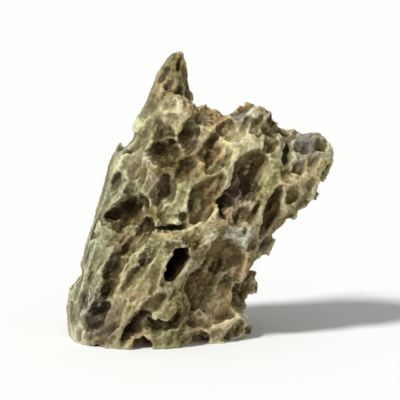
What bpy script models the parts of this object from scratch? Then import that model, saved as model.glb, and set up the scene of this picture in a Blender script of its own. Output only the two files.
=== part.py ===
"""Dragon stone: one weathered lump of layered mudstone, riddled with pits where its soft clay washed out.

The stone is built as it formed. A blank of the lump's outer shape is lofted from level slices, with a horn
and a few knobs grown from it, and roughened along the grain in which the mud was laid down. Hollows are then
cut into it. The large ones are placed one by one on the front, each with a shallow dish worn round its mouth,
and more dishes are worn between them. A seeded scatter packs the right side, back and crown so closely that
only thin ridges stand between neighbours, and smaller pits fill the gaps. The underside is worn level into
the pads that the stone stands on.

Metres, +Z up, front towards -Y. The origin is the middle of the bounding box's footprint, on the surface
that the stone stands on.
"""

import math
import random

import bmesh
import bpy
from mathutils import Matrix, Vector, noise
from mathutils.bvhtree import BVHTree

MM = 0.001
NAME = "dragon_stone"
FRONT = Vector((0, -1, 0))
GRAIN = Vector((0.46, 0.22, 0.86)).normalized()

# The blank. Each slice is (height, left, right, front, back) in millimetres.
SLICES = (
    (-6, -65, 20, -33, 26),
    (2.5, -65, 24.5, -35, 29),
    (12, -65.5, 28.5, -36, 33),
    (28, -60.5, 32, -34, 31),
    (44, -55, 36, -31, 27),
    (52, -53, 41, -29, 29),
    (57, -52.5, 54, -27, 32),
    (66, -51, 59, -24, 31),
    (78, -48, 62, -20, 29),
    (87, -42, 66, -15, 25),
    (92, -38, 64, -11, 23),
    (95, -35, 39, -8, 21),
    (98.5, -30, 33, -4, 18),
)
# The plan of every slice, as corners in a unit box: the front is at -1 and the right side at +1.
PLAN = (
    (-1.00, -0.10),
    (-0.80, -0.78),
    (-0.36, -1.00),
    (0.22, -0.98),
    (0.72, -0.66),
    (1.00, -0.08),
    (0.84, 0.62),
    (0.30, 1.00),
    (-0.34, 0.94),
    (-0.86, 0.56),
)
# The horn at the top left. Each section is (height, x, y, half width, half depth) in millimetres.
HORN = (
    (84, -26, 3, 14, 14),
    (96, -21.6, 4, 12.2, 12),
    (104, -17.3, 5, 9.4, 10),
    (112, -15.3, 6, 7.4, 7.8),
    (119, -14, 7, 6, 6.4),
    (125, -12.7, 7.6, 4.4, 5),
    (129.8, -11.8, 8, 2.5, 3.2),
)
# Knobs on the crown and back, as (x, y, z, radius) in millimetres.
KNOBS = (
    (-12.5, -2, 102.5, 7.5),
    (1, 4, 97, 7.5),
    (12, 3, 94, 8),
    (22.5, 3, 97.5, 9),
    (-8.6, 6, 109, 2.2),
    (-34, 18, 36, 12.5),
    (12, 21, 66, 12),
    (-6, 24, 14, 13),
    (-20, 16, 82, 10),
)
# The blank's roughness, as (cycles per metre, height in millimetres, stretch along the grain).
SWELLS = (
    (26, 3.2, 0.2),
    (70, 1.3, 0.55),
    (150, 0.5, 0.6),
)

# The large hollows of the front, as (x, z, length, width, depth, tilt) in millimetres and degrees. The tilt
# is that of the length, from level towards upright, leaning right.
FRONT_HOLLOWS = (
    # the horn
    (-15.5, 118, 13, 3.4, 0.9, 74),
    (-10.5, 113, 14, 4.4, 1.8, 80),
    (-11.2, 125, 6, 2, 2, 76),
    # the left flank, which stays almost smooth
    (-29.5, 93, 24, 6.5, 2, 58),
    # the upper left of the face, under the bright block
    (-18.5, 95, 15, 9.5, 4.5, 104),
    (-18, 86.5, 17.5, 12, 11, -14),
    (10, 97.5, 11, 8.5, 3.4, 44),
    (-8.5, 82, 19, 11.5, 8, 62),
    (-17.5, 71, 17, 11.5, 7, 78),
    (1.5, 104, 11, 6, 2.6, 10),
    (-15, 60.5, 12, 8, 2.2, 50),
    # the long troughs across the middle
    (2, 69, 34, 14, 8, 63),
    (21.5, 76.5, 27, 17.5, 10.5, 62),
    (12.5, 64.5, 16, 11, 12, 50),
    (17.5, 61.5, 16, 11, 6, 60),
    (32.5, 60, 30, 10, 10, 70),
    (24.3, 60.5, 12, 3, 5, 60),
    (30.8, 90, 10, 7.5, 4, 60),
    (39, 86, 12.5, 4.2, 7.8, 66),
    (39, 77.5, 10, 6.5, 3, 20),
    (24.5, 98.5, 9, 5.5, 3, 50),
    (31.5, 98.5, 8, 5.5, 3, -40),
    # the right wing
    (45.5, 91, 15, 9.5, 1.9, 68),
    (54, 90, 12, 6, 1.6, 80),
    (44.5, 81, 13, 7.5, 2.2, 60),
    (50, 72.5, 9, 5, 1.7, 50),
    (47.5, 65, 16, 8, 2.2, 68),
    (41.5, 69, 14, 7, 2, 64),
    (37.5, 55, 10, 5.5, 2, 60),
    # round the deep pocket
    (-8, 57.5, 10, 6, 7.2, -24),
    (-15, 46, 9, 5.5, 3, 10),
    (-24, 45, 19, 7, 3.2, 70),
    # the wide scallop at the lower right
    (7.8, 29, 43, 31, 10, 68),
    (9.8, 38, 24, 19, 10, 50),
    (4, 17.5, 31, 21, 7, 8),
    (10.5, 48, 8, 4, 3, 60),
    (25.5, 35.5, 10, 5, 2, 65),
    (23, 46, 10, 5, 1.8, 55),
    # the folds at the lower left of the face
    (-31, 32.5, 25, 7.5, 6, 46),
    (-25.5, 18, 25, 7.5, 5, 40),
    (-19.5, 22.5, 12, 4.6, 3.2, 60),
    (-10.5, 14.5, 13, 6.5, 4.5, 40),
    # the underside of the front edge
    (-30, 8.5, 17, 7.5, 10.8, 36),
    (-20.5, 9.5, 14, 7, 10.8, 6),
    (15, 5, 12, 7, 4, 30),
)
# The clefts of the front, which run nearly straight in, given as the large hollows are.
CLEFTS = (
    # down the left flank
    (-48.5, 44, 22, 7, 1.8, 66),
    (-54.5, 27, 34, 5.5, 1.7, 72),
    (-46, 61, 24, 4.5, 1.5, 78),
    (-32.5, 80.5, 11, 6.5, 4.2, 66),
    (-34, 69, 10, 5.5, 3.4, 60),
    (-40.5, 72, 10, 5, 3, 66),
    # from the knee, between the left flank and the face, down to the foot
    (-38.5, 58, 24, 15, 14.5, 26),
    (-28, 63.5, 10, 8, 9.6, 80),
    (-27, 54.5, 16, 8, 9, 56),
    (-33.5, 47, 20, 9, 8.5, 50),
    (-40, 38, 21, 9, 8, 60),
    (-44, 27, 24, 10, 7.5, 68),
    (-48.5, 17, 21, 11, 6, 52),
    (-52.5, 10.5, 17, 9, 5, 30),
    # the two troughs beside the block under the horn
    (-7, 94.5, 18, 11, 7.5, 62),
    (4, 89.5, 19, 11, 9, 58),
    # the crack under the face and the deep pocket below it
    (-15, 54.3, 20, 2.6, 9, 4),
    (-11.5, 38.5, 18, 7.8, 31.2, 57),
)

# Scoops out of the underside, as (x, y, length, width, depth, turn) in millimetres and degrees about +Z.
BASE_HOLLOWS = (
    (-15, -8, 34, 17, 4, 35),
    (-32, 6, 30, 15, 4.5, 70),
    (-8, 11, 24, 14, 3.6, 15),
    (-43, -8, 20, 10, 3, 50),
    (4, -14, 17, 8, 3, 60),
    (-28, -33, 20, 9, 6.5, 75),
    (-2, -32, 24, 15, 9, 85),
    (-46, -22, 16, 7, 3, 60),
    (-6, 27, 22, 13, 6, 100),
    (-48, 22, 17, 11, 5, 130),
    (16, 3, 15, 9, 4, 20),
)

# The scatter of large hollows and that of small ones, as (seed, tries, shortest, longest, slimness, depth
# over width, spacing). The lengths are in millimetres.
PACKED = (11, 5000, 9.0, 34.0, (0.38, 0.66), (0.42, 0.75), 0.80)
PECKED = (5, 1500, 4.6, 8.5, (0.5, 0.8), (0.26, 0.42), 1.0)
# The shallow dishes worn between the hollows of the front, as (seed, tries, shortest, longest, slimness,
# depth in millimetres, spacing).
WORN = (3, 2600, 8.0, 24.0, (0.40, 0.62), (1.0, 1.9), 0.80)
# The scatter keeps off the front and the smooth left flank, where the skin faces these ways this nearly.
FLANK = Vector((-0.76, -0.62, 0.2)).normalized()
FRONT_NORMAL = 0.40
FLANK_NORMAL = 0.78
# Above this height it leaves the horn only pits up to this length.
HORN_FOOT = 97 * MM
HORN_PIT = 8.5 * MM
# How far a scattered hollow's length strays from the grain.
WANDER = 0.24
# The large hollows run inwards, upwards and to the left, which leaves a lip over each.
UNDERCUT = Vector((0.34, 0, -0.80))
CLEFT_LEAN = Vector((0.40, 0, -0.15))
CUTTER_ROUGHNESS = 0.17
# The dish round the mouth of a hollow, over the hollow's own length and width.
DISH_LENGTH = 1.2
DISH_WIDTH = 1.38

BLANK_VOXEL = 1.5 * MM
CUT_VOXEL = 1.0 * MM
TRIANGLES = 9800


def clear_scene():
    for obj in list(bpy.data.objects):
        bpy.data.objects.remove(obj)


def link(name, mesh, collection):
    obj = bpy.data.objects.new(name, mesh)
    collection.objects.link(obj)
    return obj


def mesh_from(bm, name):
    mesh = bpy.data.meshes.new(name)
    bm.to_mesh(mesh)
    bm.free()
    return mesh


def bake(obj):
    """Applies the modifiers of obj by reading its evaluated mesh."""
    graph = bpy.context.evaluated_depsgraph_get()
    mesh = bpy.data.meshes.new_from_object(obj.evaluated_get(graph))
    obj.modifiers.clear()
    obj.data = mesh


def remesh(obj, voxel):
    modifier = obj.modifiers.new("voxels", "REMESH")
    modifier.mode = "VOXEL"
    modifier.voxel_size = voxel
    bake(obj)


def loft(bm, rings):
    """Joins rings of equally many points, each a list of vectors, and closes both ends."""
    loops = []
    for ring in rings:
        verts = [bm.verts.new(point) for point in ring]
        loops.append([bm.edges.new((a, b)) for a, b in zip(verts, verts[1:] + verts[:1])])
    for lower, upper in zip(loops, loops[1:]):
        bmesh.ops.bridge_loops(bm, edges=lower + upper)
    for loop in (loops[0], loops[-1]):
        bmesh.ops.contextual_create(bm, geom=loop)


def slice_ring(height, left, right, front, back):
    """One level slice: the plan fitted into the slice's box."""
    middle = Vector(((left + right) / 2, (front + back) / 2, height))
    half = Vector(((right - left) / 2, (back - front) / 2, 0))
    return [(middle + Vector((u * half.x, v * half.y, 0))) * MM for u, v in PLAN]


def horn_ring(height, x, y, half_width, half_depth, corners=10):
    turns = [2 * math.pi * k / corners for k in range(corners)]
    return [
        Vector((x + half_width * math.cos(a), y + half_depth * math.sin(a), height)) * MM for a in turns
    ]


def add_ball(bm, centre, radius, roughness=0.0, matrix=Matrix(), subdivisions=2):
    """An icosphere, dented by noise so that no two are alike, then placed by matrix and centre."""
    ball = bmesh.ops.create_icosphere(bm, subdivisions=subdivisions, radius=1)["verts"]
    for vert in ball:
        broad = noise.noise(vert.co * 1.4 + centre * 400)
        fine = noise.noise(vert.co * 3.6 + centre * 700)
        finest = noise.noise(vert.co * 8 + centre * 900)
        dent = 2 * broad + 0.9 * fine + 0.45 * finest
        vert.co = centre + matrix @ (vert.co * radius * (1 + roughness * dent))


def swell(point):
    """How far the blank's skin stands out at this point: craggy noise, drawn out along the grain."""
    height = 0
    for cycles, size, stretch in SWELLS:
        spot = (point - GRAIN * (point.dot(GRAIN) * stretch)) * cycles
        value = noise.noise(spot)
        height += size * (value if cycles < 50 else 0.5 - 2 * abs(value))
    return height * MM


def make_blank(collection):
    """The lump before it weathered: the slices, the horn and the knobs, melted into one skin."""
    bm = bmesh.new()
    loft(bm, [slice_ring(*entry) for entry in SLICES])
    loft(bm, [horn_ring(*section) for section in HORN])
    bmesh.ops.recalc_face_normals(bm, faces=bm.faces[:])
    blank = link("blank", mesh_from(bm, "blank"), collection)
    rounding = blank.modifiers.new("rounding", "SUBSURF")
    rounding.levels = rounding.render_levels = 2
    bake(blank)
    bm = bmesh.new()
    bm.from_mesh(blank.data)
    for x, y, z, radius in KNOBS:
        add_ball(bm, Vector((x, y, z)) * MM, radius * MM, 0.2)
    blank.data = mesh_from(bm, "blank")
    remesh(blank, BLANK_VOXEL)
    swollen = [vert.co + vert.normal * swell(vert.co) for vert in blank.data.vertices]
    for vert, place in zip(blank.data.vertices, swollen):
        vert.co = place
    remesh(blank, BLANK_VOXEL)
    return blank


def surface_frame(normal, along):
    """A rotation whose X runs along the surface in the given direction and whose Z is the normal."""
    x_axis = (along - normal * along.dot(normal)).normalized()
    y_axis = normal.cross(x_axis)
    return Matrix((x_axis, y_axis, normal)).transposed()


def add_hollow(bm, point, frame, length, width, depth):
    """An ellipsoid that opens length by width at the surface and reaches the depth, all in metres."""
    size = Matrix.Diagonal((length / 2, width / 2, depth))
    add_ball(bm, point, 1, CUTTER_ROUGHNESS, frame @ size, 3)


def add_dish(bm, point, turn, length, width, depth):
    """A shallow cap, length by width at the surface: an ellipsoid whose middle stands proud of it."""
    proud = 1.5 * depth
    size = Matrix.Diagonal((0.625 * length, 0.625 * width, depth + proud))
    add_ball(bm, point + turn.col[2] * proud, 1, CUTTER_ROUGHNESS, turn @ size, 3)


def dish_wear(width):
    """How far a hollow's dish lies to its right, and how deep it is. Wide hollows are worn most."""
    wide = min(max((width - 5) / 5, 0), 1)
    return min((0.12 + 0.18 * wide) * width, 3), min((0.11 + 0.11 * wide) * width, 2.3)


def front_hollows(bm, skin, table, leaning):
    """The hollows of a table, each with the dish worn round its mouth, set on the front of the blank."""
    placed = []
    for x, z, length, width, depth, tilt in table:
        point, normal, _, _ = skin.ray_cast(Vector((x, -200, z)) * MM, -FRONT)
        if point is None:
            print("no skin behind the hollow at", x, z)
            continue
        lean = math.radians(tilt)
        along = Vector((math.cos(lean), 0, math.sin(lean)))
        frame = surface_frame((normal + FRONT + leaning).normalized(), along)
        add_hollow(bm, point, frame, length * MM, width * MM, depth * MM)
        dish = surface_frame((normal + FRONT).normalized(), along)
        shift, wear = dish_wear(width)
        aside = Vector((shift, 0, -0.4 * shift)) * MM
        add_dish(bm, point + aside, dish, DISH_LENGTH * length * MM, DISH_WIDTH * width * MM, wear * MM)
        placed.append((point, length * MM, width * MM))
    return placed


def base_hollows(bm):
    for x, y, length, width, depth, turn in BASE_HOLLOWS:
        frame = Matrix.Rotation(math.radians(turn), 3, "Z")
        add_hollow(bm, Vector((x, y, 0)) * MM, frame, length * MM, width * MM, depth * MM)


def crowded(point, frame, length, width, placed, spacing):
    """Whether a hollow here would swallow one that is already placed."""
    for other, other_length, other_width in placed:
        apart = frame.transposed() @ (other - point)
        along = 2 * apart.x / (length + other_length)
        across = 2 * apart.y / (width + other_width)
        down = 2 * apart.z / (width + other_width)
        if along**2 + across**2 + down**2 < spacing**2:
            return True
    return False


def scattered_hollows(bm, skin, placed, scatter):
    """Hollows of mixed sizes over the skin, the largest first, each beside those already placed."""
    seed, tries, shortest, longest, slimness, deepness, spacing = scatter
    chance = random.Random(seed)
    count = 0
    for attempt in range(tries):
        length = (longest - (longest - shortest) * (attempt / tries) ** 0.5) * MM
        way = Vector([chance.gauss(0, 1) for _ in range(3)]).normalized()
        middle = Vector((chance.uniform(-40, 40), 0, chance.uniform(8, 96))) * MM
        width = length * chance.uniform(*slimness)
        depth = width * chance.uniform(*deepness)
        wander = Vector([chance.gauss(0, WANDER) for _ in range(3)])
        point, normal, _, _ = skin.ray_cast(middle + way * 0.3, -way)
        if point is None or point.z < 5 * MM or (point.z > HORN_FOOT and length > HORN_PIT):
            continue
        if normal.dot(FRONT) > FRONT_NORMAL or normal.dot(FLANK) > FLANK_NORMAL:
            continue
        frame = surface_frame(normal, GRAIN + wander)
        if crowded(point, frame, length, width, placed, spacing):
            continue
        placed.append((point, length, width))
        add_hollow(bm, point, frame, length, width, depth)
        count += 1
    return count


def worn_dishes(bm, skin, placed, scatter):
    """Shallow dishes over what is left of the front between its hollows."""
    seed, tries, shortest, longest, slimness, depths, spacing = scatter
    chance = random.Random(seed)
    count = 0
    for attempt in range(tries):
        length = (longest - (longest - shortest) * (attempt / tries) ** 0.5) * MM
        start = Vector((chance.uniform(-64, 64), -200, chance.uniform(3, 130))) * MM
        width = length * chance.uniform(*slimness)
        depth = chance.uniform(*depths) * MM
        wander = Vector([chance.gauss(0, WANDER) for _ in range(3)])
        point, normal, _, _ = skin.ray_cast(start, -FRONT)
        if point is None or normal.dot(FRONT) < FRONT_NORMAL:
            continue
        frame = surface_frame(normal, GRAIN + wander)
        if crowded(point, frame, length, width, placed, spacing):
            continue
        placed.append((point, length, width))
        add_dish(bm, point, frame, length, width, depth)
        count += 1
    return count


def make_cutter(blank, collection):
    """All the hollows as one closed mesh."""
    skin = BVHTree.FromObject(blank, bpy.context.evaluated_depsgraph_get())
    bm = bmesh.new()
    base_hollows(bm)
    placed = front_hollows(bm, skin, CLEFTS, CLEFT_LEAN)
    placed += front_hollows(bm, skin, FRONT_HOLLOWS, UNDERCUT)
    print(len(placed), "hollows placed")
    packed = scattered_hollows(bm, skin, placed, PACKED)
    pecked = scattered_hollows(bm, skin, placed, PECKED)
    worn = worn_dishes(bm, skin, placed, WORN)
    print(packed, "packed,", pecked, "pecked and", worn, "worn")
    cutter = link("hollows", mesh_from(bm, "hollows"), collection)
    remesh(cutter, CUT_VOXEL)
    cutter.hide_render = True
    cutter.display_type = "WIRE"
    return cutter


def carve(stone, cutter):
    cut = stone.modifiers.new("weathering", "BOOLEAN")
    cut.operation = "DIFFERENCE"
    cut.object = cutter
    bake(stone)


def keep_largest_island(obj):
    """Drops the crumbs that the hollows cut loose, and any bubble left inside."""
    bm = bmesh.new()
    bm.from_mesh(obj.data)
    unseen = set(bm.verts)
    islands = []
    while unseen:
        island, edge_of_search = set(), [unseen.pop()]
        while edge_of_search:
            vert = edge_of_search.pop()
            island.add(vert)
            for edge in vert.link_edges:
                other = edge.other_vert(vert)
                if other in unseen:
                    unseen.remove(other)
                    edge_of_search.append(other)
        islands.append(island)
    largest = max(islands, key=len)
    bmesh.ops.delete(bm, geom=[v for v in bm.verts if v not in largest], context="VERTS")
    obj.data = mesh_from(bm, obj.name)


def thin_out(obj, triangles):
    """Collapses the fine mesh to about this many triangles."""
    now = sum(len(face.vertices) - 2 for face in obj.data.polygons)
    modifier = obj.modifiers.new("facets", "DECIMATE")
    modifier.ratio = triangles / now
    modifier.use_collapse_triangulate = True
    bake(obj)


def trim_base(obj):
    """Cuts the stone off level where it stands."""
    bm = bmesh.new()
    bm.from_mesh(obj.data)
    geom = bm.verts[:] + bm.edges[:] + bm.faces[:]
    cut = bmesh.ops.bisect_plane(bm, geom=geom, plane_co=(0, 0, 0), plane_no=(0, 0, -1), clear_outer=True)
    rim = [piece for piece in cut["geom_cut"] if isinstance(piece, bmesh.types.BMEdge)]
    bmesh.ops.triangle_fill(bm, use_beauty=True, use_dissolve=False, edges=rim)
    bmesh.ops.recalc_face_normals(bm, faces=bm.faces[:])
    bmesh.ops.triangulate(bm, faces=bm.faces[:])
    obj.data = mesh_from(bm, obj.name)


def centre_footprint(obj):
    """Moves the mesh so that the origin is the middle of its bounding box's footprint."""
    xs = [vert.co.x for vert in obj.data.vertices]
    ys = [vert.co.y for vert in obj.data.vertices]
    shift = Vector((min(xs) + max(xs), min(ys) + max(ys), 0)) / -2
    obj.data.transform(Matrix.Translation(shift))
    print("shifted by", [round(value / MM, 3) for value in shift], "mm")


def stone_material():
    material = bpy.data.materials.new("weathered_mudstone")
    material.use_nodes = True
    shader = material.node_tree.nodes["Principled BSDF"]
    shader.inputs["Base Color"].default_value = (0.25, 0.215, 0.13, 1)
    shader.inputs["Roughness"].default_value = 0.85
    shader.inputs["Metallic"].default_value = 0
    return material


def main():
    clear_scene()
    parts = bpy.data.collections.new("dragon_stone")
    helpers = bpy.data.collections.new("cutters")
    for collection in (parts, helpers):
        bpy.context.scene.collection.children.link(collection)
    stone = make_blank(parts)
    stone.name = NAME
    cutter = make_cutter(stone, helpers)
    carve(stone, cutter)
    remesh(stone, CUT_VOXEL)
    keep_largest_island(stone)
    thin_out(stone, TRIANGLES)
    trim_base(stone)
    centre_footprint(stone)
    stone.data.materials.append(stone_material())
    print(len(stone.data.polygons), "triangles")


main()
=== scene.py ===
# %% [markdown]
# # A dragon stone, carved and coloured
# A dragon stone is a lump of layered mudstone. Water has washed the soft clay out of it, and left it riddled
# with pits, with thin ridges between them. The frame already holds a coarse solid of the stone, which is
# what falls, rests and collides. It has under ten thousand facets. This lesson carves the same stone again
# with a finer tool, adds the marks that are too small for the solid, and gives the rock its colours.

# %% Load the frame
import math
import random

import bmesh
import bpy
from mathutils import Matrix, Vector, noise
from mathutils.bvhtree import BVHTree


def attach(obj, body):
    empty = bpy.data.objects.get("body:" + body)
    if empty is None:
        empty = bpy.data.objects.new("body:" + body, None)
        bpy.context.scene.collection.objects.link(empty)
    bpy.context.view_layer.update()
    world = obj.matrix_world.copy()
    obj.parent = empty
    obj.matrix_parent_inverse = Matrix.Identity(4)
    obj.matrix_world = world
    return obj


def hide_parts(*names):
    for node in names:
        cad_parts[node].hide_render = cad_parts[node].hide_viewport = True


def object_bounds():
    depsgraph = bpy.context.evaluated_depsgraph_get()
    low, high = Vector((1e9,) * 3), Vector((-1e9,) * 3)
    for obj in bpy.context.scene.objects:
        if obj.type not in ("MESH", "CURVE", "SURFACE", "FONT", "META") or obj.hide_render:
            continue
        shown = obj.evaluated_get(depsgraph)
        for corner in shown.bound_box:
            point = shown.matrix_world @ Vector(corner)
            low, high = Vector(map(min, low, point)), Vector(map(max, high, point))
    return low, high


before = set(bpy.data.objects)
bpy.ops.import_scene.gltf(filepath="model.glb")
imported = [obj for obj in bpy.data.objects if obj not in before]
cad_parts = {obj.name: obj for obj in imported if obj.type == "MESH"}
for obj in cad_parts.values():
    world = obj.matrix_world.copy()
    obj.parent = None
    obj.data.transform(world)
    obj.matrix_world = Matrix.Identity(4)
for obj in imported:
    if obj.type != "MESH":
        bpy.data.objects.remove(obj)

MM = 0.001
solid_low, solid_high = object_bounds()
solid_size = (solid_high - solid_low) / MM
print("the solid is", " x ".join(f"{side:.1f}" for side in solid_size), "mm")

# %% [markdown]
# ## Helpers for meshes
# Each step below builds a mesh, runs a modifier on it and goes on from the result. Reading the evaluated
# mesh back is how a script applies a modifier without touching the editor. The voxel remesh melts
# overlapping shapes into one skin, so shapes can simply be pushed into one another.

# %% Helpers for meshes
workshop = bpy.data.collections.new("workshop")
bpy.context.scene.collection.children.link(workshop)


def mesh_from(bm, name):
    mesh = bpy.data.meshes.new(name)
    bm.to_mesh(mesh)
    bm.free()
    return mesh


def link(name, mesh):
    obj = bpy.data.objects.new(name, mesh)
    workshop.objects.link(obj)
    return obj


def bake(obj):
    """Applies the modifiers of obj."""
    graph = bpy.context.evaluated_depsgraph_get()
    mesh = bpy.data.meshes.new_from_object(obj.evaluated_get(graph))
    obj.modifiers.clear()
    obj.data = mesh


def remesh(obj, voxel):
    modifier = obj.modifiers.new("voxels", "REMESH")
    modifier.mode = "VOXEL"
    modifier.voxel_size = voxel
    bake(obj)


# %% [markdown]
# ## The blank
# Before it weathered, the lump was a plain leaning block. It is lofted here through level slices, as a
# contour map would be, because its outline changes with height more than its plan does. Each slice is one
# circle whose corners are moved to a shared plan and stretched to the slice's box. The numbers are
# millimetres: height, left, right, front, back.

# %% The slices of the blank
SLICES = (
    (-6, -65, 20, -33, 26),
    (2.5, -65, 24.5, -35, 29),
    (12, -65.5, 28.5, -36, 33),
    (28, -60.5, 32, -34, 31),
    (44, -55, 36, -31, 27),
    (52, -53, 41, -29, 29),
    (57, -52.5, 54, -27, 32),
    (66, -51, 59, -24, 31),
    (78, -48, 62, -20, 29),
    (87, -42, 66, -15, 25),
    (92, -38, 64, -11, 23),
    (95, -35, 39, -8, 21),
    (98.5, -30, 33, -4, 18),
)
PLAN = (
    (-1.00, -0.10),
    (-0.80, -0.78),
    (-0.36, -1.00),
    (0.22, -0.98),
    (0.72, -0.66),
    (1.00, -0.08),
    (0.84, 0.62),
    (0.30, 1.00),
    (-0.34, 0.94),
    (-0.86, 0.56),
)
print("the blank is lofted through", len(SLICES), "slices")


def slice_ring(bm, height, left, right, front, back):
    ring = bmesh.ops.create_circle(bm, segments=len(PLAN), radius=1)["verts"]
    middle = Vector(((left + right) / 2, (front + back) / 2, height))
    half = Vector(((right - left) / 2, (back - front) / 2, 0))
    for vert, (u, v) in zip(ring, PLAN):
        vert.co = (middle + Vector((u * half.x, v * half.y, 0))) * MM
    return ring


# %% [markdown]
# The horn at the top left is a second loft, of plain ellipses. Its numbers are height, the middle's x and y,
# half the width and half the depth. A few knobs are icospheres pushed into the crown and the back, given by
# x, y, z and radius. Noise dents each one, because a true sphere shows through any amount of weathering.

# %% The horn and the knobs
HORN = (
    (84, -26, 3, 14, 14),
    (96, -21.6, 4, 12.2, 12),
    (104, -17.3, 5, 9.4, 10),
    (112, -15.3, 6, 7.4, 7.8),
    (119, -14, 7, 6, 6.4),
    (125, -12.7, 7.6, 4.4, 5),
    (129.8, -11.8, 8, 2.5, 3.2),
)
HORN_CORNERS = 10
KNOBS = (
    (-12.5, -2, 102.5, 7.5),
    (1, 4, 97, 7.5),
    (12, 3, 94, 8),
    (22.5, 3, 97.5, 9),
    (-8.6, 6, 109, 2.2),
    (-34, 18, 36, 12.5),
    (12, 21, 66, 12),
    (-6, 24, 14, 13),
    (-20, 16, 82, 10),
)
KNOB_ROUGHNESS = 0.2
print("the horn has", len(HORN), "sections, and there are", len(KNOBS), "knobs")


def horn_ring(bm, height, x, y, half_width, half_depth):
    ring = bmesh.ops.create_circle(bm, segments=HORN_CORNERS, radius=1)["verts"]
    for vert in ring:
        vert.co = Vector((x + half_width * vert.co.x, y + half_depth * vert.co.y, height)) * MM
    return ring


def loft(bm, rings):
    """Joins rings of equally many corners, and closes both ends."""
    loops = [list(dict.fromkeys(edge for vert in ring for edge in vert.link_edges)) for ring in rings]
    for lower, upper in zip(loops, loops[1:]):
        bmesh.ops.bridge_loops(bm, edges=lower + upper)
    for loop in (loops[0], loops[-1]):
        bmesh.ops.contextual_create(bm, geom=loop)


def add_ball(bm, centre, radius, roughness, matrix=Matrix(), subdivisions=2):
    """An icosphere, dented by noise so that no two are alike, then placed by matrix and centre."""
    ball = bmesh.ops.create_icosphere(bm, subdivisions=subdivisions, radius=1)["verts"]
    for vert in ball:
        broad = noise.noise(vert.co * 1.4 + centre * 400)
        fine = noise.noise(vert.co * 3.6 + centre * 700)
        finest = noise.noise(vert.co * 8 + centre * 900)
        dent = 2 * broad + 0.9 * fine + 0.45 * finest
        vert.co = centre + matrix @ (vert.co * radius * (1 + roughness * dent))


# %% [markdown]
# Rock never breaks along smooth curves, so the blank's skin is roughened before it is carved. Three sizes of
# noise are added along the normals. Each is drawn out along the grain, the direction in which the water ran
# through the mud, so that its lumps lie along it. The two smaller ones fold the noise at zero, which gives
# sharp crests instead of round bumps. Each size is given by its cycles per metre, its height in millimetres
# and how far it is drawn out. All the new places are worked out before any vertex moves, because otherwise
# every normal would be worked out again after each move.

# %% Roughen the skin
GRAIN = Vector((0.46, 0.22, 0.86)).normalized()
SWELLS = (
    (26, 3.2, 0.2),
    (70, 1.3, 0.55),
    (150, 0.5, 0.6),
)
FOLDED_FROM = 50


def along_grain(point, stretch):
    """The point in a space where whatever noise is read comes out drawn along the grain."""
    return point - GRAIN * (point.dot(GRAIN) * stretch)


def swell(point):
    """How far the blank's skin stands out at this point, in metres."""
    height = 0
    for cycles, size, stretch in SWELLS:
        value = noise.noise(along_grain(point, stretch) * cycles)
        height += size * (value if cycles < FOLDED_FROM else 0.5 - 2 * abs(value))
    return height * MM


def move_vertices(mesh, places):
    mesh.vertices.foreach_set("co", [value for place in places for value in place])
    mesh.update()


def push_out(obj, height):
    """Moves every vertex along its normal by height(vertex)."""
    move_vertices(obj.data, [vert.co + vert.normal * height(vert) for vert in obj.data.vertices])


# %% [markdown]
# The blank is built twice. A coarse one is enough to find the places of the hollows on, and the fine one is
# carved. The smoothing of the lofts comes first, then the knobs, and the voxel remesh melts all of it into
# one skin. It is remeshed again after the roughening, which stretches the faces on steep lumps.

# %% Build the blank
def make_blank(name, voxel):
    bm = bmesh.new()
    loft(bm, [slice_ring(bm, *entry) for entry in SLICES])
    loft(bm, [horn_ring(bm, *section) for section in HORN])
    bmesh.ops.recalc_face_normals(bm, faces=bm.faces[:])
    blank = link(name, mesh_from(bm, name))
    rounding = blank.modifiers.new("rounding", "SUBSURF")
    rounding.levels = rounding.render_levels = 2
    bake(blank)
    bm = bmesh.new()
    bm.from_mesh(blank.data)
    for x, y, z, radius in KNOBS:
        add_ball(bm, Vector((x, y, z)) * MM, radius * MM, KNOB_ROUGHNESS)
    blank.data = mesh_from(bm, name)
    remesh(blank, voxel)
    push_out(blank, lambda vert: swell(vert.co))
    remesh(blank, voxel)
    return blank


PLACING_VOXEL = 1.5 * MM
STONE_VOXEL = 0.85 * MM
rough_blank = make_blank("rough_blank", PLACING_VOXEL)
stone = make_blank("weathered_stone", STONE_VOXEL)
print("the blank has", len(stone.data.polygons), "faces")

# %% [markdown]
# ## The hollows
# Each pit is an ellipsoid that lies along the surface with its mouth open. The large ones on the front are
# placed one by one, because they are what a person would know this stone by. A ray from the front finds the
# skin behind each place. The outward axis is tipped a little down and to the right, so a pit runs in, up and
# to the left, and leaves a lip over its darker end. Round its mouth, on the lower right, a shallow dish is
# worn. Where the dishes of two pits meet, a sharp crest is left in place of a flat. The numbers are x, z,
# length, width and depth in millimetres, and the tilt of the length in degrees.

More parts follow.
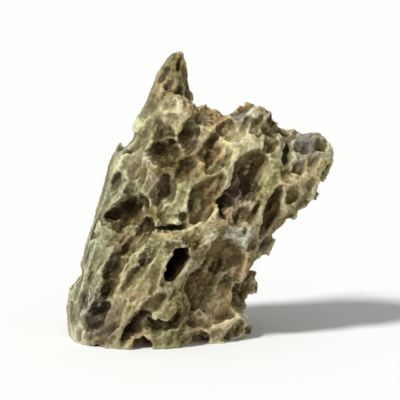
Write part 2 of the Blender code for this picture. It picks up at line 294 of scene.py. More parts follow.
# %% The large hollows of the front
FRONT = Vector((0, -1, 0))
UNDERCUT = Vector((0.34, 0, -0.80))
FRONT_HOLLOWS = (
    # the horn
    (-15.5, 118, 13, 3.4, 0.9, 74),
    (-10.5, 113, 14, 4.4, 1.8, 80),
    (-11.2, 125, 6, 2, 2, 76),
    # the left flank, which stays almost smooth
    (-29.5, 93, 24, 6.5, 2, 58),
    # the upper left of the face, under the bright block
    (-18.5, 95, 15, 9.5, 4.5, 104),
    (-18, 86.5, 17.5, 12, 11, -14),
    (10, 97.5, 11, 8.5, 3.4, 44),
    (-8.5, 82, 19, 11.5, 8, 62),
    (-17.5, 71, 17, 11.5, 7, 78),
    (1.5, 104, 11, 6, 2.6, 10),
    (-15, 60.5, 12, 8, 2.2, 50),
    # the long troughs across the middle
    (2, 69, 34, 14, 8, 63),
    (21.5, 76.5, 27, 17.5, 10.5, 62),
    (12.5, 64.5, 16, 11, 12, 50),
    (17.5, 61.5, 16, 11, 6, 60),
    (32.5, 60, 30, 10, 10, 70),
    (24.3, 60.5, 12, 3, 5, 60),
    (30.8, 90, 10, 7.5, 4, 60),
    (39, 86, 12.5, 4.2, 7.8, 66),
    (39, 77.5, 10, 6.5, 3, 20),
    (24.5, 98.5, 9, 5.5, 3, 50),
    (31.5, 98.5, 8, 5.5, 3, -40),
    # the right wing
    (45.5, 91, 15, 9.5, 1.9, 68),
    (54, 90, 12, 6, 1.6, 80),
    (44.5, 81, 13, 7.5, 2.2, 60),
    (50, 72.5, 9, 5, 1.7, 50),
    (47.5, 65, 16, 8, 2.2, 68),
    (41.5, 69, 14, 7, 2, 64),
    (37.5, 55, 10, 5.5, 2, 60),
    # round the deep pocket
    (-8, 57.5, 10, 6, 7.2, -24),
    (-15, 46, 9, 5.5, 3, 10),
    (-24, 45, 19, 7, 3.2, 70),
    # the wide scallop at the lower right
    (7.8, 29, 43, 31, 10, 68),
    (9.8, 38, 24, 19, 10, 50),
    (4, 17.5, 31, 21, 7, 8),
    (10.5, 48, 8, 4, 3, 60),
    (25.5, 35.5, 10, 5, 2, 65),
    (23, 46, 10, 5, 1.8, 55),
    # the folds at the lower left of the face
    (-31, 32.5, 25, 7.5, 6, 46),
    (-25.5, 18, 25, 7.5, 5, 40),
    (-19.5, 22.5, 12, 4.6, 3.2, 60),
    (-10.5, 14.5, 13, 6.5, 4.5, 40),
    # the underside of the front edge
    (-30, 8.5, 17, 7.5, 10.8, 36),
    (-20.5, 9.5, 14, 7, 10.8, 6),
    (15, 5, 12, 7, 4, 30),
)
print(len(FRONT_HOLLOWS), "large hollows on the front")

# %% [markdown]
# Narrow clefts run nearly straight in, because a lip would close them. They are given as the large hollows
# are. The underside has hollows too, which leave the pads that the stone stands on. Their numbers are x, y,
# length, width, depth and the turn about the vertical in degrees.

# %% The clefts of the front and the hollows of the underside
CLEFT_LEAN = Vector((0.40, 0, -0.15))
CLEFTS = (
    # down the left flank
    (-48.5, 44, 22, 7, 1.8, 66),
    (-54.5, 27, 34, 5.5, 1.7, 72),
    (-46, 61, 24, 4.5, 1.5, 78),
    (-32.5, 80.5, 11, 6.5, 4.2, 66),
    (-34, 69, 10, 5.5, 3.4, 60),
    (-40.5, 72, 10, 5, 3, 66),
    # from the knee, between the left flank and the face, down to the foot
    (-38.5, 58, 24, 15, 14.5, 26),
    (-28, 63.5, 10, 8, 9.6, 80),
    (-27, 54.5, 16, 8, 9, 56),
    (-33.5, 47, 20, 9, 8.5, 50),
    (-40, 38, 21, 9, 8, 60),
    (-44, 27, 24, 10, 7.5, 68),
    (-48.5, 17, 21, 11, 6, 52),
    (-52.5, 10.5, 17, 9, 5, 30),
    # the two troughs beside the block under the horn
    (-7, 94.5, 18, 11, 7.5, 62),
    (4, 89.5, 19, 11, 9, 58),
    # the crack under the face and the deep pocket below it
    (-15, 54.3, 20, 2.6, 9, 4),
    (-11.5, 38.5, 18, 7.8, 31.2, 57),
)
BASE_HOLLOWS = (
    (-15, -8, 34, 17, 4, 35),
    (-32, 6, 30, 15, 4.5, 70),
    (-8, 11, 24, 14, 3.6, 15),
    (-43, -8, 20, 10, 3, 50),
    (4, -14, 17, 8, 3, 60),
    (-28, -33, 20, 9, 6.5, 75),
    (-2, -32, 24, 15, 9, 85),
    (-46, -22, 16, 7, 3, 60),
    (-6, 27, 22, 13, 6, 100),
    (-48, 22, 17, 11, 5, 130),
    (16, 3, 15, 9, 4, 20),
)
print(len(CLEFTS), "clefts, and", len(BASE_HOLLOWS), "hollows underneath")

# %% [markdown]
# A hollow's cutter is an ellipsoid with its middle on the skin. A dish's cutter has its middle one and a
# half depths above the skin, where five eighths of its mouth's width make its half width, so the skin cuts
# it to just that mouth. A wide hollow has a deeper dish, and one that lies further aside.

# %% Cutters for hollows and dishes
CUTTER_ROUGHNESS = 0.17
CUTTER_SUBDIVISIONS = 3
DISH_PROUD = 1.5
DISH_SPREAD = 0.625
DISH_LENGTH = 1.2
DISH_WIDTH = 1.38
DISH_SHIFT = (0.12, 0.18, 3)
DISH_DEPTH = (0.11, 0.11, 2.3)


def lay_along(normal, along):
    """A rotation whose X runs along the surface in the given direction and whose Z is the normal."""
    x_axis = (along - normal * along.dot(normal)).normalized()
    y_axis = normal.cross(x_axis)
    return Matrix((x_axis, y_axis, normal)).transposed()


def add_hollow(bm, point, turn, length, width, depth):
    """An ellipsoid that opens length by width at the surface and reaches the depth, all in metres."""
    size = Matrix.Diagonal((length / 2, width / 2, depth))
    add_ball(bm, point, 1, CUTTER_ROUGHNESS, turn @ size, CUTTER_SUBDIVISIONS)


def add_dish(bm, point, turn, length, width, depth):
    """A shallow cap, length by width at the surface: an ellipsoid whose middle stands proud of it."""
    proud = DISH_PROUD * depth
    size = Matrix.Diagonal((DISH_SPREAD * length, DISH_SPREAD * width, depth + proud))
    add_ball(bm, point + turn.col[2] * proud, 1, CUTTER_ROUGHNESS, turn @ size, CUTTER_SUBDIVISIONS)


def dish_wear(width):
    """How far a hollow's dish lies to its right, and how deep it is, all in millimetres."""
    wide = min(max((width - 5) / 5, 0), 1)
    return [min((share + more * wide) * width, most) for share, more, most in (DISH_SHIFT, DISH_DEPTH)]


# %% [markdown]
# The skin of the coarse blank goes into a search tree, which answers where a ray meets it. Each hollow of a
# table is set there, and its dish a little to the lower right of it. The places are kept, so that the
# scattered hollows don't swallow these ones later.

# %% Cut the hollows that are placed one by one
DISH_DROP = -0.4
RAY_START = -200


def front_hollows(bm, skin, table, leaning):
    """Cuts each hollow of the table and its dish, and returns the places, lengths and widths."""
    placed = []
    for x, z, length, width, depth, tilt in table:
        point, normal, _, _ = skin.ray_cast(Vector((x, RAY_START, z)) * MM, -FRONT)
        lean = math.radians(tilt)
        along = Vector((math.cos(lean), 0, math.sin(lean)))
        turn = lay_along((normal + FRONT + leaning).normalized(), along)
        add_hollow(bm, point, turn, length * MM, width * MM, depth * MM)
        dish = lay_along((normal + FRONT).normalized(), along)
        shift, wear = dish_wear(width)
        aside = Vector((shift, 0, DISH_DROP * shift)) * MM
        add_dish(bm, point + aside, dish, DISH_LENGTH * length * MM, DISH_WIDTH * width * MM, wear * MM)
        placed.append((point, length * MM, width * MM))
    return placed


def base_hollows(bm):
    for x, y, length, width, depth, degrees in BASE_HOLLOWS:
        turn = Matrix.Rotation(math.radians(degrees), 3, "Z")
        add_hollow(bm, Vector((x, y, 0)) * MM, turn, length * MM, width * MM, depth * MM)


skin = BVHTree.FromObject(rough_blank, bpy.context.evaluated_depsgraph_get())
cutters = bmesh.new()
base_hollows(cutters)
placed = front_hollows(cutters, skin, CLEFTS, CLEFT_LEAN)
placed += front_hollows(cutters, skin, FRONT_HOLLOWS, UNDERCUT)
print(len(placed), "hollows on the front and", len(BASE_HOLLOWS), "underneath")

# %% [markdown]
# The other sides have about a hundred pits, which nobody would place by hand. Random rays find their places.
# A pit is kept if it doesn't swallow one that is already there, and the test is made in the pit's own
# stretched frame, so long pits lie close beside each other along the grain. Large ones go first, as in
# packing a suitcase. Only thin walls are then left between neighbours, which is what the weathered clay
# leaves. The thin horn gets small pits alone, because a large one would cut it through. Each kind is given
# by its seed, the number of tries, the shortest and the longest in millimetres, the range of width as a
# share of the length, that of depth as a share of the width, and how near two may lie. The random numbers
# are seeded, so the stone is the same each time.

# %% The scattered hollows
PACKED = (11, 5000, 9.0, 34.0, (0.38, 0.66), (0.42, 0.75), 0.80)
PECKED = (5, 1500, 4.6, 8.5, (0.5, 0.8), (0.26, 0.42), 1.0)
FLANK = Vector((-0.76, -0.62, 0.2)).normalized()
FRONT_NORMAL = 0.40
FLANK_NORMAL = 0.78
WANDER = 0.24
AIMED_X = (-40, 40)
AIMED_Z = (8, 96)
AIM_DISTANCE = 0.3
LOWEST_PIT = 5 * MM
HORN_FOOT = 97 * MM
HORN_PIT = 8.5 * MM


def crowded(point, turn, length, width, placed, spacing):
    """Whether a hollow here would swallow one that is already placed."""
    for other, other_length, other_width in placed:
        apart = turn.transposed() @ (other - point)
        along = 2 * apart.x / (length + other_length)
        across = 2 * apart.y / (width + other_width)
        down = 2 * apart.z / (width + other_width)
        if along**2 + across**2 + down**2 < spacing**2:
            return True
    return False


def scattered_hollows(bm, skin, placed, scatter):
    """Hollows of mixed sizes over the skin, the largest first, each beside those already placed."""
    seed, tries, shortest, longest, slimness, deepness, spacing = scatter
    chance = random.Random(seed)
    count = 0
    for attempt in range(tries):
        length = (longest - (longest - shortest) * (attempt / tries) ** 0.5) * MM
        way = Vector([chance.gauss(0, 1) for _ in range(3)]).normalized()
        middle = Vector((chance.uniform(*AIMED_X), 0, chance.uniform(*AIMED_Z))) * MM
        width = length * chance.uniform(*slimness)
        depth = width * chance.uniform(*deepness)
        wander = Vector([chance.gauss(0, WANDER) for _ in range(3)])
        point, normal, _, _ = skin.ray_cast(middle + way * AIM_DISTANCE, -way)
        if point is None or point.z < LOWEST_PIT or (point.z > HORN_FOOT and length > HORN_PIT):
            continue
        if normal.dot(FRONT) > FRONT_NORMAL or normal.dot(FLANK) > FLANK_NORMAL:
            continue
        turn = lay_along(normal, GRAIN + wander)
        if crowded(point, turn, length, width, placed, spacing):
            continue
        placed.append((point, length, width))
        add_hollow(bm, point, turn, length, width, depth)
        count += 1
    return count


packed = scattered_hollows(cutters, skin, placed, PACKED)
pecked = scattered_hollows(cutters, skin, placed, PECKED)
print(packed, "pits packed and", pecked, "pecked")

# %% [markdown]
# What the front has left between its hollows would still look too plain, so it is worn into shallow dishes.
# They are scattered as the pits are, by rays from the front. Their depth doesn't follow their width, and is
# given in millimetres.

# %% The worn dishes of the front
WORN = (3, 2600, 8.0, 24.0, (0.40, 0.62), (1.0, 1.9), 0.80)
WORN_X = (-64, 64)
WORN_Z = (3, 130)


def worn_dishes(bm, skin, placed, scatter):
    """Shallow dishes over what is left of the front between its hollows."""
    seed, tries, shortest, longest, slimness, depths, spacing = scatter
    chance = random.Random(seed)
    count = 0
    for attempt in range(tries):
        length = (longest - (longest - shortest) * (attempt / tries) ** 0.5) * MM
        start = Vector((chance.uniform(*WORN_X), RAY_START, chance.uniform(*WORN_Z))) * MM
        width = length * chance.uniform(*slimness)
        depth = chance.uniform(*depths) * MM
        wander = Vector([chance.gauss(0, WANDER) for _ in range(3)])
        point, normal, _, _ = skin.ray_cast(start, -FRONT)
        if point is None or normal.dot(FRONT) < FRONT_NORMAL:
            continue
        turn = lay_along(normal, GRAIN + wander)
        if crowded(point, turn, length, width, placed, spacing):
            continue
        placed.append((point, length, width))
        add_dish(bm, point, turn, length, width, depth)
        count += 1
    return count


print(worn_dishes(cutters, skin, placed, WORN), "dishes worn")

# %% [markdown]
# ## Carving
# All the ellipsoids are melted into one cutter first. One Boolean then removes it from the blank. That is
# much quicker than one cut for each pit, and where two pits meet, their union leaves the sharp crest that
# real pits have. The skin of the blank is kept in a search tree, to tell later how far below it each point
# was cut.

# %% Carve the stone
CUTTER_VOXEL = 0.7 * MM
CARVED_VOXEL = 0.62 * MM


def keep_largest_island(obj):
    """Drops the crumbs that the hollows cut loose."""
    bm = bmesh.new()
    bm.from_mesh(obj.data)
    unseen = set(bm.verts)
    islands = []
    while unseen:
        island, edge_of_search = set(), [unseen.pop()]
        while edge_of_search:
            vert = edge_of_search.pop()
            island.add(vert)
            for edge in vert.link_edges:
                other = edge.other_vert(vert)
                if other in unseen:
                    unseen.remove(other)
                    edge_of_search.append(other)
        islands.append(island)
    largest = max(islands, key=len)
    bmesh.ops.delete(bm, geom=[v for v in bm.verts if v not in largest], context="VERTS")
    obj.data = mesh_from(bm, obj.name)


uncut = BVHTree.FromObject(stone, bpy.context.evaluated_depsgraph_get())
cutter = link("hollows", mesh_from(cutters, "hollows"))
remesh(cutter, CUTTER_VOXEL)
cut = stone.modifiers.new("weathering", "BOOLEAN")
cut.operation = "DIFFERENCE"
cut.object = cutter
bake(stone)
remesh(stone, CARVED_VOXEL)
keep_largest_island(stone)
print("the carved stone has", len(stone.data.polygons), "faces")

# %% [markdown]
# ## Sharper crests
# The remesh rounds every edge by about a voxel, and real crests are as thin as broken pottery. A Smooth
# modifier on a copy shows what rounding does to each point. Moving the point the other way by a share of
# that sharpens the crests and deepens the creases, as an unsharp mask does.

# %% Sharpen the crests
SHARPENING = 0.7
ROUNDING = 10


def smoothed(mesh, rounds):
    """The places of the vertices after this many rounds of smoothing."""
    helper = link("smoothed", mesh.copy())
    smoothing = helper.modifiers.new("smoothing", "SMOOTH")
    smoothing.factor = 0.5
    smoothing.iterations = rounds
    bake(helper)
    places = [vert.co.copy() for vert in helper.data.vertices]
    bpy.data.objects.remove(helper)
    return places


round_places = smoothed(stone.data, ROUNDING)
pairs = zip(stone.data.vertices, round_places)
move_vertices(stone.data, [vert.co + SHARPENING * (vert.co - place) for vert, place in pairs])
print("sharpened", len(round_places), "points")

# %% [markdown]
# ## Fine relief
# From a hand's width away the rock shows four more things: flutes that run down the pits, crumbs of harder
# mud, the thin edges of its layers, and pinholes. They are still shape and not paint, because they cast
# shadows, so they are added to the mesh. Each is a short formula of the place. The flank at the left was
# rubbed smooth, so there the relief is weaker. The heights are in millimetres.

# %% Fine relief
LAYERS = Vector((0.18, 0.10, -0.98)).normalized()
FLUTE_HEIGHT = 0.65
CRUMB_HEIGHT = 0.34
LAYER_HEIGHT = 0.30
PINHOLE_DEPTH = 0.60
FLANK_RUB = 0.65


def fade(value, low, high):
    """0 below low, 1 above high, and smooth between. It runs the other way if low is above high."""
    t = min(max((value - low) / (high - low), 0), 1)
    return t * t * (3 - 2 * t)


def flutes(place):
    return -abs(noise.noise(along_grain(place, 0.86) * 300))


def crumbs(place):
    coarse = 0.5 - 1.6 * abs(noise.noise(place * 330 + Vector((3, 0, 0))))
    return coarse + 0.9 * noise.noise(place * 620) + 0.5 * noise.noise(place * 1150)


def layer_edges(place):
    """Steps like those of torn paper: each layer sets back a little from the one below."""
    height = place.dot(LAYERS) * 380 + 2.6 * noise.noise(place * 60) + 0.8 * noise.noise(place * 210)
    step = height - math.floor(height)
    return (step - 0.5) * fade(noise.noise(place * 55), 0.12, 0.4)


def pinholes(place):
    nearest = noise.voronoi(along_grain(place, 0.4) * 330)[0][0]
    return -fade(nearest, 0.42, 0.12) * fade(noise.noise(place * 80 + Vector((7, 0, 0))), 0.0, 0.35)


def relief(vert):
    """The height of the fine relief at a vertex, in metres."""
    place = vert.co
    rough = 1 - FLANK_RUB * fade(vert.normal.dot(FLANK), 0.72, 0.92)
    height = FLUTE_HEIGHT * flutes(place) + CRUMB_HEIGHT * crumbs(place)
    height += LAYER_HEIGHT * layer_edges(place) + PINHOLE_DEPTH * pinholes(place)
    return rough * height * MM


push_out(stone, relief)
print("relief added to", len(stone.data.vertices), "points")

# %% [markdown]
# ## Thin out and trim
# Flat floors need far fewer triangles than crests, and the Decimate modifier takes them from there first.
# The underside is then cut off level, where the stone has worn flat.

# %% Thin out and trim
TRIANGLES = 190_000


def thin_out(obj, triangles):
    now = sum(len(face.vertices) - 2 for face in obj.data.polygons)
    modifier = obj.modifiers.new("fewer", "DECIMATE")
    modifier.ratio = triangles / now
    modifier.use_collapse_triangulate = True
    bake(obj)


def trim_base(obj):
    bm = bmesh.new()
    bm.from_mesh(obj.data)
    geom = bm.verts[:] + bm.edges[:] + bm.faces[:]
    cut = bmesh.ops.bisect_plane(bm, geom=geom, plane_co=(0, 0, 0), plane_no=(0, 0, -1), clear_outer=True)
    rim = [piece for piece in cut["geom_cut"] if isinstance(piece, bmesh.types.BMEdge)]
    bmesh.ops.triangle_fill(bm, use_beauty=True, use_dissolve=False, edges=rim)
    bmesh.ops.recalc_face_normals(bm, faces=bm.faces[:])
    bmesh.ops.triangulate(bm, faces=bm.faces[:])
    obj.data = mesh_from(bm, obj.name)


thin_out(stone, TRIANGLES)
trim_base(stone)
print("the stone has", len(stone.data.polygons), "triangles")

# %% [markdown]
# ## What the colours follow
# Painted highlight on the crests and painted shade in hollows and sheltered places follow the shape. Four
# numbers are worked out for each vertex and kept on the mesh as attributes, which the material can read.
# They say how far the point stands out from its close surroundings and from its wider ones, how deep it lies
# below the uncut skin, and how much of the sky is hidden from it. The first two come from a Smooth modifier
# on a copy: what stands out is what the smoothing takes away.

# %% Measure crests and hollows
CREST_ROUNDS = 5
BROW_ROUNDS = 60


def keep(mesh, name, values):
    attribute = mesh.attributes.new(name, "FLOAT", "POINT")
    attribute.data.foreach_set("value", values)
    print(name, "runs from", round(min(values), 3), "to", round(max(values), 3))


def standing_out(mesh, rounds):
    """How far each point stands out from its surroundings, in millimetres. More rounds look further."""
    pairs = zip(mesh.vertices, smoothed(mesh, rounds))
    return [(vert.co - place).dot(vert.normal) / MM for vert, place in pairs]


crest = standing_out(stone.data, CREST_ROUNDS)
brow = standing_out(stone.data, BROW_ROUNDS)
buried = [uncut.find_nearest(vert.co)[3] / MM for vert in stone.data.vertices]
keep(stone.data, "crest", crest)
keep(stone.data, "brow", brow)
keep(stone.data, "buried", buried)

# %% [markdown]
# The shelter of a point is found by rays that leave it in evenly spread directions. Each counts by how
# squarely it leaves the surface, and counts as blocked if it meets the stone within a few centimetres.

# %% Measure the shelter
SKY_RAYS = 26
REACH = 28 * MM
LIFT_OFF = 0.3
GRAZING = 0.1


def spiral(count):
    """Directions spread evenly over a sphere, by the golden angle."""
    directions = []
    for k in range(count):
        z = 1 - (2 * k + 1) / count
        turn = k * math.pi * (3 - math.sqrt(5))
        across = math.sqrt(1 - z * z)
        directions.append(Vector((across * math.cos(turn), across * math.sin(turn), z)))
    return directions


def shelter(vert, tree, directions):
    """The share of the directions in front of the surface that the stone itself blocks."""
    start = vert.co + vert.normal * LIFT_OFF * MM
    seen, blocked = 0.0, 0.0
    for way in directions:
        facing = way.dot(vert.normal)
        if facing > GRAZING:
            seen += facing
            if tree.ray_cast(start, way, REACH)[0] is not None:
                blocked += facing
    return blocked / seen if seen else 1.0


walls = BVHTree.FromObject(stone, bpy.context.evaluated_depsgraph_get())
directions = spiral(SKY_RAYS)
keep(stone.data, "shelter", [shelter(vert, walls, directions) for vert in stone.data.vertices])

# %% [markdown]
# ## Place the stone in the frame
# The fine stone was made from the same numbers as the solid, but its remeshes are finer, so it comes out a
# hair larger. It is moved on to the solid and squeezed by under two hundredths until both fill the same
# box. Everything rides on the one body, and the solid is hidden behind the piece that stands for it.

# %% Place the stone in the frame
def box_of(mesh):
    places = [vert.co for vert in mesh.vertices]
    low = Vector([min(place[axis] for place in places) for axis in range(3)])
    high = Vector([max(place[axis] for place in places) for axis in range(3)])
    return low, high


def fit_to_box(mesh, low, high):
    """Moves and very slightly scales the mesh so that it just fills the box."""
    own_low, own_high = box_of(mesh)
    ratio = [(high[axis] - low[axis]) / (own_high[axis] - own_low[axis]) for axis in range(3)]
    mesh.transform(Matrix.Translation(low) @ Matrix.Diagonal((*ratio, 1)) @ Matrix.Translation(-own_low))
    print("scaled by", [round(value, 4) for value in ratio])


fit_to_box(stone.data, solid_low, solid_high)
stone.data.shade_smooth()
for helper in (rough_blank, cutter):
    bpy.data.objects.remove(helper)
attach(stone, "root")
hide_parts("dragon_stone")

# %% [markdown]
# ## A small language for materials
# A node material is arithmetic on values that vary over the surface, and drawing each Math node by hand
# hides that. Here a value is wrapped in a small class, so that an ordinary expression such as a * 0.5 + b
# adds the nodes. Every other node comes from one method, which takes its type, its settings and its inputs.

# %% Write materials as expressions
class Value:
    """A value that varies over the surface. Arithmetic on it adds Math nodes to its finish."""

    def __init__(self, finish, socket):
        self.finish = finish
        self.socket = socket

    def math(self, operation, first, second):
        return self.finish.node("ShaderNodeMath", {"operation": operation}, {0: first, 1: second})

    def __add__(self, other):
        return self.math("ADD", self, other)

    def __sub__(self, other):
        return self.math("SUBTRACT", self, other)

    def __rsub__(self, other):
        return self.math("SUBTRACT", other, self)

    def __mul__(self, other):
        return self.math("MULTIPLY", self, other)

    __radd__ = __add__
    __rmul__ = __mul__


class Finish:
    """A material with a Principled shader, and the methods that add nodes to it."""

    def __init__(self, name):
        self.material = bpy.data.materials.new(name)
        self.material.use_nodes = True
        self.tree = self.material.node_tree
        self.shader = self.tree.nodes["Principled BSDF"]

    def plug(self, socket, value):
        if isinstance(value, Value):
            self.tree.links.new(value.socket, socket)
        else:
            socket.default_value = value

    def node(self, kind, settings=None, inputs=None, output=0):
        """Adds a node: its settings first, then the values or links of its inputs."""
        node = self.tree.nodes.new(kind)
        for name, setting in (settings or {}).items():
            if name == "stops":
                self.set_stops(node.color_ramp, setting)
            else:
                setattr(node, name, setting)
        for name, value in (inputs or {}).items():
            self.plug(node.inputs[name], value)
        return Value(self, node.outputs[output])

    def set_stops(self, ramp, stops):
        while len(ramp.elements) < len(stops):
            ramp.elements.new(0.5)
        for element, (position, colour) in zip(ramp.elements, stops):
            element.position = position
            element.color = (*colour, 1)


# %% [markdown]
# A few kinds of node come up again and again, so each gets a short name. The noise is asked for in cycles
# per metre, and is centred on zero, so that adding it leaves the average of a value alone.

# %% Names for the usual nodes
class StoneFinish(Finish):
    def attribute(self, name):
        return self.node("ShaderNodeAttribute", {"attribute_name": name}, output="Fac")

    def noise(self, place, cycles, detail=2.0, distortion=0.0):
        inputs = {"Vector": place, "Scale": cycles, "Detail": detail, "Distortion": distortion}
        return self.node("ShaderNodeTexNoise", {}, inputs) - 0.5

    def between(self, value, low, high):
        """0 at low, 1 at high, and smooth between. It runs the other way if low is above high."""
        inputs = {"Value": value, "From Min": low, "From Max": high}
        if low > high:
            inputs = {"Value": value, "From Min": high, "From Max": low, "To Min": 1, "To Max": 0}
        return self.node("ShaderNodeMapRange", {"interpolation_type": "SMOOTHSTEP"}, inputs)

    def mix(self, share, first, second, blend="MIX"):
        settings = {"data_type": "RGBA", "blend_type": blend}
        return self.node("ShaderNodeMix", settings, {0: share, 6: first, 7: second}, output=2)

    def vector(self, operation, first, second, output=0):
        return self.node("ShaderNodeVectorMath", {"operation": operation}, {0: first, 1: second}, output)


# %% [markdown]
# ## The colours of the rock
# Dragon stone is dried mud: black-brown, then brown, olive, tan, straw, and at last a greenish white. One
# number, the tone, picks a colour along that row. The tone rises on crests and broad ridges, as painted
# highlight, and falls with depth and shelter, as painted shade. Noise of many sizes is added: broad patches,
# blotches and streaks along the grain, the thin layers, crumble, grit and small pocks.

# %% Tone of the rock
ROCK_COLOURS = (
    (0.00, (0.024, 0.014, 0.003)),
    (0.16, (0.062, 0.041, 0.011)),
    (0.32, (0.127, 0.094, 0.033)),
    (0.50, (0.215, 0.178, 0.086)),
    (0.66, (0.330, 0.288, 0.158)),
    (0.82, (0.480, 0.430, 0.270)),
    (1.00, (0.680, 0.635, 0.460)),
)

rock = StoneFinish("pitted_mudstone")
place = rock.node("ShaderNodeTexCoord", output="Object")


def drawn_out(axis, scale):
    """The place in a frame whose Z is the axis, where a pattern comes out larger by the scale."""
    inputs = {"Vector": place, "Rotation": axis.to_track_quat("Z", "Y").to_euler(), "Scale": scale}
    return rock.node("ShaderNodeMapping", {"vector_type": "TEXTURE"}, inputs)


up_the_grain = drawn_out(GRAIN, (1, 1, 5))
across_layers = drawn_out(LAYERS, (7, 7, 1))
patches = rock.noise(place, 34, 3)
blotches = rock.noise(up_the_grain, 120, 3, 0.6)
streaks = rock.noise(up_the_grain, 240, 4, 0.4)
bands = rock.noise(across_layers, 330, 3)
crumble = rock.noise(place, 620, 4)
grit = rock.noise(place, 1500, 2)
cell_inputs = {"Vector": up_the_grain, "Scale": 430, "Randomness": 1}
cells = rock.node("ShaderNodeTexVoronoi", {}, cell_inputs, output="Distance")
pocks = rock.between(cells, 0.40, 0.16) * rock.between(rock.noise(place, 90), 0.0, 0.14)
# Painted light and shade: the crest mask paints a highlight on thin crests, and the brow mask paints broad
# ridges lighter and broad hollows darker. The buried and shelter masks paint shade deep below the uncut skin
# and where the sky is hidden.
edges = rock.between(rock.attribute("crest"), -0.10, 0.16)
painted_brow_light = rock.between(rock.attribute("brow"), -1.1, 1.3)
painted_depth_shade = rock.between(rock.attribute("buried"), 1.0, 12.0)
shade = rock.between(rock.attribute("shelter"), 0.25, 0.95)
tone = 0.29 + 0.10 * edges + 0.43 * painted_brow_light - 0.12 * painted_depth_shade - 0.12 * shade
tone = tone + 0.60 * patches + 0.45 * blotches + 0.36 * streaks + 0.20 * bands
tone = tone + 0.45 * crumble + 0.28 * grit - 0.25 * pocks
print("the tone is made by", len(rock.tree.nodes), "nodes")

# %% [markdown]
# ## Stains
# Minerals in the water have stained single places: rust, grey-blue clay, cream lime, purple-brown mud on the
# floors of pits. Each stain is a ball in space with a ragged edge. It lifts or lowers the tone, and turns
# the hue but not the lightness towards its own colour, so the pits and crests under it stay legible. The
# numbers are x, y, z and radius in millimetres, the change of tone, the colour and its strength. Three broad
# tints, lichen, brown and straw, also come and go over the whole stone, each from a noise read at its own
# place.

# %% Colours and places of the stains
CREAM = (0.70, 0.64, 0.36)
STRAW = (0.60, 0.49, 0.24)
LICHEN = (0.375, 0.385, 0.18)
OLIVE = (0.22, 0.19, 0.06)
BROWN = (0.27, 0.18, 0.08)
PURPLE = (0.19, 0.145, 0.115)
RUST = (0.42, 0.25, 0.12)
BLUE_GREY = (0.28, 0.285, 0.27)
WHITE_GREY = (0.50, 0.50, 0.41)
STAINS = (
    (-14, 1, 124, 9, -0.14, OLIVE, 0.3),
    (-17, 0, 115, 7, 0.06, RUST, 0.8),
    (-12, -8, 101, 8, 0.38, CREAM, 0.8),
    (-28, -12, 96, 12, -0.22, LICHEN, 0.6),
    (-14, -14, 85, 10, -0.26, OLIVE, 0.6),
    (-6, -10, 93, 7, -0.06, PURPLE, 0.8),
    (-17, -18, 73, 8, -0.06, PURPLE, 0.7),
    (18, -10, 66, 12, -0.05, PURPLE, 0.6),
    (19, -12, 95, 14, 0.30, CREAM, 0.7),
    (20, -4, 105, 8, -0.06, WHITE_GREY, 0.6),
    (48, -10, 93, 14, -0.02, BLUE_GREY, 0.75),
    (52, -14, 75, 14, 0.18, STRAW, 0.8),
    (0, -24, 57, 10, 0.30, STRAW, 0.6),
    (7, -24, 68, 9, 0.04, OLIVE, 0.6),
    (-47, -24, 14, 14, -0.22, PURPLE, 0.7),
    (-44, -22, 30, 10, -0.10, OLIVE, 0.4),
    (-26, -24, 57, 12, -0.40, OLIVE, 0.5),
    (-25, -26, 43, 12, 0.0, LICHEN, 0.6),
    (13, -14, 38, 11, 0.10, BROWN, 0.35),
    (-1, -30, 37, 7, 0.20, WHITE_GREY, 0.3),
    (6, -29, 50, 8, 0.28, WHITE_GREY, 0.3),
    (24, -22, 24, 9, 0.26, WHITE_GREY, 0.6),
    (7, -20, 18, 14, 0.30, CREAM, 0.2),
    (30, -16, 67, 9, -0.26, OLIVE, 0.5),
    (-10, -30, 14, 8, -0.16, OLIVE, 0.4),
    (31, -14, 43, 8, -0.20, BLUE_GREY, 0.5),
    (18, -16, 34, 6, 0.04, RUST, 0.5),
    (18, -23, 48, 9, 0.24, WHITE_GREY, 0.6),
    (-30, 30, 70, 26, 0.05, LICHEN, 0.5),
    (20, 28, 80, 18, -0.02, BLUE_GREY, 0.5),
    (-20, 34, 24, 20, 0.0, RUST, 0.35),
    (30, 24, 40, 18, 0.04, STRAW, 0.4),
)
TINTS = ((3.1, LICHEN), (7.7, BROWN), (12.9, STRAW))
TINT_STRENGTH = 0.85
print(len(STAINS), "stains and", len(TINTS), "tints")

# %% [markdown]
# A ball would show as a round spot. The place is therefore shifted to and fro by a noise, by up to some
# millimetres, before its distance to the ball's middle is measured. All the changes of tone come first,
# because the colour is picked by the finished tone. The tints and the stains' own hues follow.

# %% Lay the stains on
RAGGED = (16 * MM,) * 3

raggedness = rock.node("ShaderNodeTexNoise", {}, {"Vector": place, "Scale": 110, "Detail": 3}, output="Color")
ragged = rock.vector("SUBTRACT", raggedness, (0.5, 0.5, 0.5))
ragged_place = rock.vector("ADD", place, rock.vector("MULTIPLY", ragged, RAGGED))


def stain_share(x, y, z, radius):
    centre = tuple(Vector((x, y, z)) * MM)
    distance = rock.vector("DISTANCE", ragged_place, centre, "Value")
    return rock.between(distance, radius * MM * 1.15, radius * MM * 0.45)


shares = [stain_share(*stain[:4]) for stain in STAINS]
for share, (*_, lift, _, _) in zip(shares, STAINS):
    tone = tone + lift * share
colour = rock.node("ShaderNodeValToRGB", {"stops": ROCK_COLOURS}, {"Fac": tone}, output="Color")
for offset, tint in TINTS:
    elsewhere = rock.vector("ADD", place, (offset, offset, offset))
    tinted = rock.between(rock.noise(elsewhere, 42, 3, 0.5), 0.02, 0.16)
    colour = rock.mix(TINT_STRENGTH * tinted, colour, (*tint, 1), "COLOR")
for share, (*_, stain, strength) in zip(shares, STAINS):
    colour = rock.mix(strength * share, colour, (*stain, 1), "COLOR")
print("with the stains, the rock takes", len(rock.tree.nodes), "nodes")
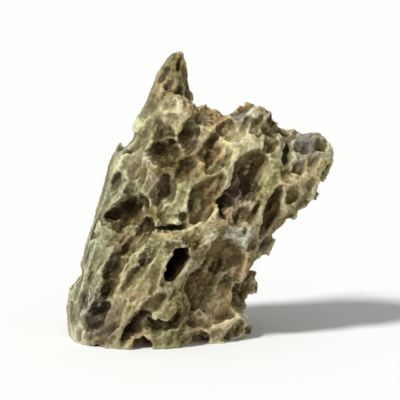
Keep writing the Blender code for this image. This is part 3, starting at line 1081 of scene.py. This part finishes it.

# %% [markdown]
# The flank at the left has few pits. It was rubbed against its neighbours, and is an even grey-olive.
# Whether a point belongs to it is told by its place: left of a leaning plane. Three more things are laid
# over everything: brown mud on the floors of the pits, a pale bloom and painted highlight on the sharpest
# crests, and fine dark dirt and painted shade in the most sheltered places.

# %% Rubbed flank, chalk and painted highlight on crests, dirt and painted shade
CHALK_AND_HIGHLIGHT = (0.66, 0.66, 0.52, 1)
DIRT_AND_SHADE = (0.032, 0.019, 0.005, 1)
FLANK_COLOUR = (0.27, 0.27, 0.17, 1)
FLANK_SIDE = (-0.92, -0.25, 0.30)

leaning = rock.vector("DOT_PRODUCT", ragged_place, FLANK_SIDE, "Value")
flank_share = rock.between(leaning, 47 * MM, 58 * MM)
colour = rock.mix(0.6 * flank_share, colour, FLANK_COLOUR, "COLOR")
floor_share = rock.between(rock.attribute("buried"), 1.5, 7.0) * (1.0 - 0.6 * edges)
colour = rock.mix(0.45 * floor_share, colour, (*BROWN, 1), "COLOR")
# Painted highlight: the sharpest crests are painted pale in patches, partly as a bloom and partly as light
# caught on them.
pale_lit_crests = rock.between(rock.attribute("crest") + 0.10 * grit + 0.14 * streaks, 0.05, 0.24)
chalk_and_highlight_share = pale_lit_crests * rock.between(patches + 0.5 * blotches, -0.12, 0.08)
colour = rock.mix(0.42 * chalk_and_highlight_share, colour, CHALK_AND_HIGHLIGHT)
# Painted shade: points hidden from the sky are painted dark brown, partly as dirt and partly as shade.
dirt_and_shade_share = rock.between(rock.attribute("shelter") + 0.25 * patches + 0.2 * grit, 0.62, 1.0)
colour = rock.mix(0.40 * dirt_and_shade_share, colour, DIRT_AND_SHADE)

rock.plug(rock.shader.inputs["Base Color"], colour)
rock.plug(rock.shader.inputs["Roughness"], 0.92 - 0.16 * flank_share + 0.10 * streaks)
rock.shader.inputs["Specular IOR Level"].default_value = 0.08
print("the colours take", len(rock.tree.nodes), "nodes")

# %% [markdown]
# The last and smallest relief is too fine for the mesh: crumbs, pores along the grain and grains of silt,
# all well under a millimetre high. A Bump node tilts the light over them. Its heights are in millimetres,
# and come from the same noise as the tone, so the dirt sits in the hollows. It is weaker on the rubbed
# flank.

# %% Grain of the surface
silt = rock.noise(place, 2600, 3)
pores = rock.noise(up_the_grain, 900, 3)
height = 0.60 * crumble + 0.35 * pores + 0.22 * grit + 0.10 * silt - 0.30 * pocks
height = height * (1.0 - 0.45 * flank_share)
relief_map = rock.node("ShaderNodeBump", output="Normal",
                       inputs={"Height": height, "Strength": 0.9, "Distance": 1.0 * MM})
rock.plug(rock.shader.inputs["Normal"], relief_map)
stone.data.materials.clear()
stone.data.materials.append(rock.material)
print("the finish has", len(rock.tree.nodes), "nodes")

# %% [markdown]
# ## Floor and light
# The stone stands on a plain pale floor, wide enough that its edge is never seen. The light is that of a
# studio: one broad lamp high at the left in front, stronger than all the rest, so that the pits read as
# dark, and a dim white room round it.

# %% Floor and light
FLOOR_RADIUS = 40


def pale_floor():
    bm = bmesh.new()
    bmesh.ops.create_circle(bm, cap_ends=True, segments=96, radius=FLOOR_RADIUS)
    obj = link("pale_floor", mesh_from(bm, "pale_floor"))
    paint = Finish("pale_paint")
    paint.plug(paint.shader.inputs["Base Color"], (0.82, 0.82, 0.81, 1))
    paint.plug(paint.shader.inputs["Roughness"], 0.9)
    obj.data.materials.append(paint.material)
    return obj


def lamp(name, direction, strength, angle):
    light = bpy.data.lights.new(name, "SUN")
    light.energy = strength
    light.angle = math.radians(angle)
    obj = bpy.data.objects.new(name, light)
    bpy.context.scene.collection.objects.link(obj)
    obj.rotation_euler = Vector(direction).to_track_quat("Z", "Y").to_euler()


floor = pale_floor()
lamp("key_lamp", direction=(-0.58, -0.36, 0.80), strength=3.35, angle=10)
room = bpy.data.worlds.new("white_room")
room.use_nodes = True
background = room.node_tree.nodes["Background"]
background.inputs["Color"].default_value = (1, 1, 1, 1)
background.inputs["Strength"].default_value = 0.42
bpy.context.scene.world = room
bpy.context.scene.view_settings.view_transform = "Standard"

# %% [markdown]
# ## The camera
# It looks at the front, from twelve degrees above the level, through a long lens, so that the stone keeps
# its proportions.

# %% Camera
CAMERA_ELEVATION = 12
CAMERA_DISTANCE = 1.5
CAMERA_LENS = 296
TARGET = Vector((0, 0, 62)) * MM

camera_data = bpy.data.cameras.new("camera")
camera_data.lens = CAMERA_LENS
camera_data.clip_start = 0.01
camera_data.clip_end = 200
camera = bpy.data.objects.new("camera", camera_data)
bpy.context.scene.collection.objects.link(camera)
rise = math.radians(CAMERA_ELEVATION)
camera.location = TARGET + CAMERA_DISTANCE * Vector((0, -math.cos(rise), math.sin(rise)))
camera.rotation_euler = (camera.location - TARGET).to_track_quat("Z", "Y").to_euler()
bpy.context.scene.camera = camera
print("the camera stands", CAMERA_DISTANCE, "m from the stone")
